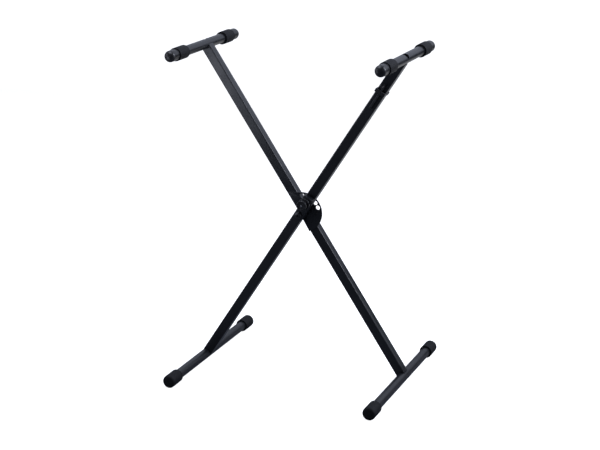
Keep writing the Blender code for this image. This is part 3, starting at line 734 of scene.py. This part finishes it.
def make_knob():
    """The pull knob with its waist, its rolled disc and the screw in its recess."""
    recess = KNOB_LENGTH - KNOB_RECESS
    web = recess - KNOB_WEB
    disc = KNOB_LENGTH - KNOB_DISC
    face = KNOB_RADIUS - KNOB_EDGE
    rings = [(SCREW_BORE, recess), (KNOB_RECESS_FLOOR, recess), (KNOB_RECESS_MOUTH, KNOB_LENGTH)]
    rings += arc(face, KNOB_LENGTH - KNOB_EDGE, KNOB_EDGE, pi / 2, 0, steps=6)
    rings += arc(face, disc + KNOB_EDGE, KNOB_EDGE, 0, -pi / 3, steps=4)
    rings += [(KNOB_WAIST, disc - KNOB_EDGE), (KNOB_WAIST, KNOB_EASE), (KNOB_WAIST - KNOB_EASE, 0)]
    rings += [(PIN_BORE, 0), (PIN_BORE, web), (SCREW_BORE, web)]
    knob = turn_piece("lock_knob_moulding", rings, hollow=True)
    place_piece(knob, FRONT, (0, KNOB_BACK, HOLE_ARC), TO_MINUS_Y)
    hand_over(knob, "plunger", "black_plastic", "lock_knob")

    head = SCREW_HEAD_HEIGHT
    edge = SCREW_HEAD_EDGE
    rings = [(SCREW_HEAD_FLAT, head)]
    rings += arc(SCREW_HEAD_RADIUS - edge, head - edge, edge, pi / 2, 0, steps=5)
    rings += [(SCREW_HEAD_RADIUS, 0), (SCREW_RADIUS, 0), (SCREW_RADIUS, -SCREW_LENGTH)]
    screw = turn_piece("lock_knob_screw_steel", rings, SMALL_ROUND)
    for turn in (0, pi / 2):
        slot = box_piece("slot", SCREW_SLOT, (0, 0, head))
        slot.matrix_world = Matrix.Rotation(turn, 4, "Z")
        bpy.context.view_layer.update()
        cut_with(screw, slot)
    place_piece(screw, FRONT, (0, KNOB_BACK - recess - CLEAR, HOLE_ARC), TO_MINUS_Y)
    hand_over(screw, "plunger", "bright_steel", "lock_knob_screw")


def make_pin():
    """The plunger pin with the groove that holds its collar, and the collar."""
    tip = PLATE_FRONT - CLEAR
    length = tip - (KNOB_BACK - KNOB_LENGTH + KNOB_RECESS + KNOB_WEB + CLEAR)
    groove = PIN_RADIUS - PIN_GROOVE_DEPTH
    back = tip - COLLAR_BACK - CLEAR
    front = back + COLLAR_THICKNESS + 2 * CLEAR
    rings = [(SCREW_BORE, length - PIN_THREAD_DEPTH), (SCREW_BORE, length), (PIN_RADIUS, length)]
    rings += [(PIN_RADIUS, front), (groove, front), (groove, back), (PIN_RADIUS, back)]
    rings += arc(PIN_RADIUS - PIN_NOSE, PIN_NOSE, PIN_NOSE, 0, -pi / 2, steps=5)
    pin = turn_piece("lock_pin_steel", rings, SMALL_ROUND)
    place_piece(pin, FRONT, (0, tip, HOLE_ARC), TO_MINUS_Y)
    hand_over(pin, "plunger", "bright_steel", "lock_pin")

    size = (groove + CLEAR, COLLAR_RADIUS, COLLAR_THICKNESS)
    at = (0, COLLAR_BACK, HOLE_ARC)
    make_ring("lock_collar", FRONT, "plunger", "bright_steel", *size, at, TO_MINUS_Y)


def make_spring():
    """The coil spring, which is squeezed against the bracket as the knob is pulled."""
    start = COLLAR_BACK - COLLAR_THICKNESS - CLEAR - SPRING_WIRE
    stop = BRACKET_FACE + BRACKET_WALL + CLEAR + SPRING_WIRE
    count = SPRING_TURNS * SPRING_STEPS
    points = []
    for k in range(count + 1):
        turn = 2 * pi * k / SPRING_STEPS
        depth = start + (stop - start) * k / count
        points.append((SPRING_RADIUS * cos(turn), depth, HOLE_ARC + SPRING_RADIUS * sin(turn)))
    spring = shape_curve("lock_spring_wire", points, wire_radius=SPRING_WIRE)
    place_piece(spring, FRONT)
    hand_over(spring, "front_leg_body", "bright_steel", "lock_spring")
    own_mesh(spring)


def make_key():
    """The bent hex key and the clip that holds it to the leg."""
    depth = FRONT_FACE - KEY_LIFT - KEY_RADIUS
    bend = arc(depth - KEY_BEND, KEY_TOP - KEY_BEND, KEY_BEND, 0, pi / 2, KEY_BEND_STEPS)
    points = [(0, depth, KEY_TOP - KEY_LONG_ARM)] + [(0, y, z) for y, z in bend]
    points += [(0, depth - KEY_SHORT_ARM, KEY_TOP)]
    key = shape_curve("hex_key_steel", points, wire_radius=KEY_RADIUS, corners=1)
    place_piece(key, FRONT)
    hand_over(key, "front_leg_body", "black_steel", "hex_key")

    inside = LEG_WIDTH + 2 * CLEAR
    back = -LEG_GAP / 2 + CLEAR + CLIP_WALL
    face = depth - KEY_RADIUS - CLEAR - CLIP_WALL
    centre = KEY_TOP - CLIP_FROM_TOP - CLIP_LENGTH / 2
    through = 2 * CLIP_LENGTH
    size = (inside + 2 * CLIP_WALL, back - face, CLIP_LENGTH)
    at = (0, (back + face) / 2, centre)
    clip = box_piece("key_clip_moulding", size, at, CLIP_CORNER, CLIP_CORNER_STEPS, True)
    at = (0, -LEG_DEPTH, centre)
    cut_with(clip, box_piece("room", (inside, inside, through), at, LEG_CORNER, CLIP_CORNER_STEPS, True))
    slot = 2 * (KEY_RADIUS + CLEAR)
    cut_with(clip, box_piece("slot", (slot, slot, through), (0, depth, centre)))
    ease_edges(clip, CLIP_EDGE)
    place_piece(clip, FRONT)
    hand_over(clip, "front_leg_body", "black_plastic", "key_clip")


make_leg("rear_leg", REAR, "rear_leg_body", LEG_DEPTH, False)
make_leg("front_leg", FRONT, "front_leg_body", -LEG_DEPTH, True)
top_tube = TOP_LENGTH - 2 * (TOP_CAP_END + CLEAR)
foot_tube = FOOT_LENGTH - 2 * (FOOT_CAP_END + CLEAR)
for leg, body, depth, top_name, foot_name in (
    (REAR, "rear_leg_body", LEG_DEPTH, "top_bar_left", "foot_bar_right"),
    (FRONT, "front_leg_body", -LEG_DEPTH, "top_bar_right", "foot_bar_left"),
):
    make_bar(top_name, leg, body, depth, 1, top_tube)
    make_top_ends(top_name, leg, body)
    make_bar(foot_name, leg, body, depth, -1, foot_tube)
    make_foot_ends(foot_name, leg, body)
make_plate()
make_washers()
make_pivot_bolt()
make_bracket()
make_knob()
make_pin()
make_spring()
make_key()

# What stays as it was made: the nut blocks and bushes inside the tubes
slot_of = {s["node"]: s["material_slot"] for s in frame["record"]["subparts"]}
for name, node in frame["nodes"].items():
    if not node.hide_render:
        node.data.materials.clear()
        node.data.materials.append(FINISHES[slot_of[name]])


# Floor, light and camera

def mix_by_camera(tree, seen, unseen):
    """A colour that the camera sees, and another one for light that bounces."""
    path = tree.nodes.new("ShaderNodeLightPath")
    mix = tree.nodes.new("ShaderNodeMix")
    mix.data_type = "RGBA"
    mix.inputs["A"].default_value = (*unseen, 1)
    mix.inputs["B"].default_value = (*seen, 1)
    tree.links.new(path.outputs["Is Camera Ray"], mix.inputs["Factor"])
    return mix.outputs["Result"]


def level_by_camera(tree, coordinates, seen, front, back, dim, bright):
    """A level that the camera sees, and another one for light that bounces, which rises towards +Y."""
    place = tree.nodes.new("ShaderNodeTexCoord")
    parts = tree.nodes.new("ShaderNodeSeparateXYZ")
    tree.links.new(place.outputs[coordinates], parts.inputs["Vector"])
    unseen = map_range(tree, parts.outputs["Y"], start=front, end=back, low=dim, high=bright)
    path = tree.nodes.new("ShaderNodeLightPath")
    level = map_range(tree, path.outputs["Is Camera Ray"], start=0, end=1, low=0, high=seen)
    tree.links.new(unseen.outputs["Result"], level.inputs["To Min"])
    return level.outputs["Result"]


def make_floor():
    """A floor that the camera sees as white, and that is dark in front of the stand for reflections."""
    white = (0.86, 0.86, 0.86)
    dark = (0.12, 0.13, 0.15)
    bpy.ops.object.select_all(action="DESELECT")
    bpy.ops.mesh.primitive_plane_add(size=40)
    floor = start_piece("floor")
    finish, tree, shader = start_material("pale_floor", white, roughness=0.9)
    tree.links.new(mix_by_camera(tree, white, dark), shader.inputs["Base Color"])
    glow = level_by_camera(tree, "Object", seen=0.85, front=0.1, back=1.4, dim=0.0, bright=0.55)
    shader.inputs["Emission Color"].default_value = (1, 1, 1, 1)
    tree.links.new(glow, shader.inputs["Emission Strength"])
    floor.data.materials.append(finish)


def make_world():
    """Soft room light that is dim in front and bright behind, seen as white by the camera."""
    world = bpy.data.worlds.new("studio")
    bpy.context.scene.world = world
    world.use_nodes = True
    tree = world.node_tree
    room = tree.nodes["Background"]
    level = level_by_camera(tree, "Generated", seen=1, front=-0.5, back=0.9, dim=0.10, bright=0.75)
    tree.links.new(level, room.inputs["Strength"])
    tree.links.new(mix_by_camera(tree, (1, 1, 1), (0.86, 0.92, 1.10)), room.inputs["Color"])


def add_softbox(name, place, target, size, power):
    """A rectangular softbox aimed at a point, out of the camera's sight."""
    lamp = bpy.data.lights.new(name, "AREA")
    lamp.shape = "RECTANGLE"
    lamp.size, lamp.size_y = size
    lamp.energy = power
    lamp.color = (0.88, 0.93, 1.08)
    box = bpy.data.objects.new(name, lamp)
    bpy.context.scene.collection.objects.link(box)
    box.location = place
    aim = Vector(target) - Vector(place)
    box.rotation_euler = aim.to_track_quat("-Z", "Y").to_euler()
    box.visible_camera = False


def add_flag():
    """A dark upright sheet behind the stand, so that the foot bars mirror less of the bright back."""
    width, height, depth, middle = 9.0, 1.02, 3.0, 0.52
    bpy.ops.object.select_all(action="DESELECT")
    bpy.ops.mesh.primitive_plane_add(size=1, location=(0, depth, middle), rotation=(pi / 2, 0, 0))
    flag = start_piece("dark_flag")
    flag.scale = (width, height, 1)
    finish, _, _ = start_material("flag_cloth", (0.02, 0.02, 0.022), roughness=0.9, level=0.1)
    flag.data.materials.append(finish)
    flag.visible_camera = False


def make_camera():
    """The photograph's view, measured from the legs' crossing."""
    turn, rise, roll = radians(22.742), radians(16.544), radians(-0.351)
    distance, across, up_shift = 3.8378, -0.0072, -0.0331
    focal_pixels = 1489.54
    image_width = 600
    back = Vector((sin(turn) * cos(rise), -cos(turn) * cos(rise), sin(rise)))
    level_right = Vector((cos(turn), sin(turn), 0))
    level_up = back.cross(level_right)
    right = cos(roll) * level_right + sin(roll) * level_up
    up = -sin(roll) * level_right + cos(roll) * level_up
    lens = bpy.data.cameras.new("view")
    lens.sensor_width = 36
    lens.lens = focal_pixels * lens.sensor_width / image_width
    camera = bpy.data.objects.new("view", lens)
    bpy.context.scene.collection.objects.link(camera)
    turned = Matrix((right, up, back)).transposed().to_4x4()
    place = PIVOT + back * distance + right * across + up * up_shift
    camera.matrix_world = Matrix.Translation(place) @ turned
    bpy.context.scene.camera = camera


make_floor()
make_world()
add_softbox("right_softbox", place=(2.6, 0.9, 2.3), target=(0, 0, 0.7), size=(1.5, 1.8), power=78)
add_softbox("top_softbox", place=(-0.3, -0.4, 2.1), target=(0, 0, 0.6), size=(1.0, 1.0), power=12)
add_softbox("left_softbox", place=(-3.0, -1.8, 1.6), target=(0, 0, 0.45), size=(1.2, 2.0), power=16)
add_softbox(
    "near_front_card", place=(-0.55, -0.65, 0.66), target=(-0.25, 0, 0.82), size=(0.26, 0.42), power=1.0
)
add_flag()
make_camera()
bpy.context.scene.view_settings.view_transform = "Standard"
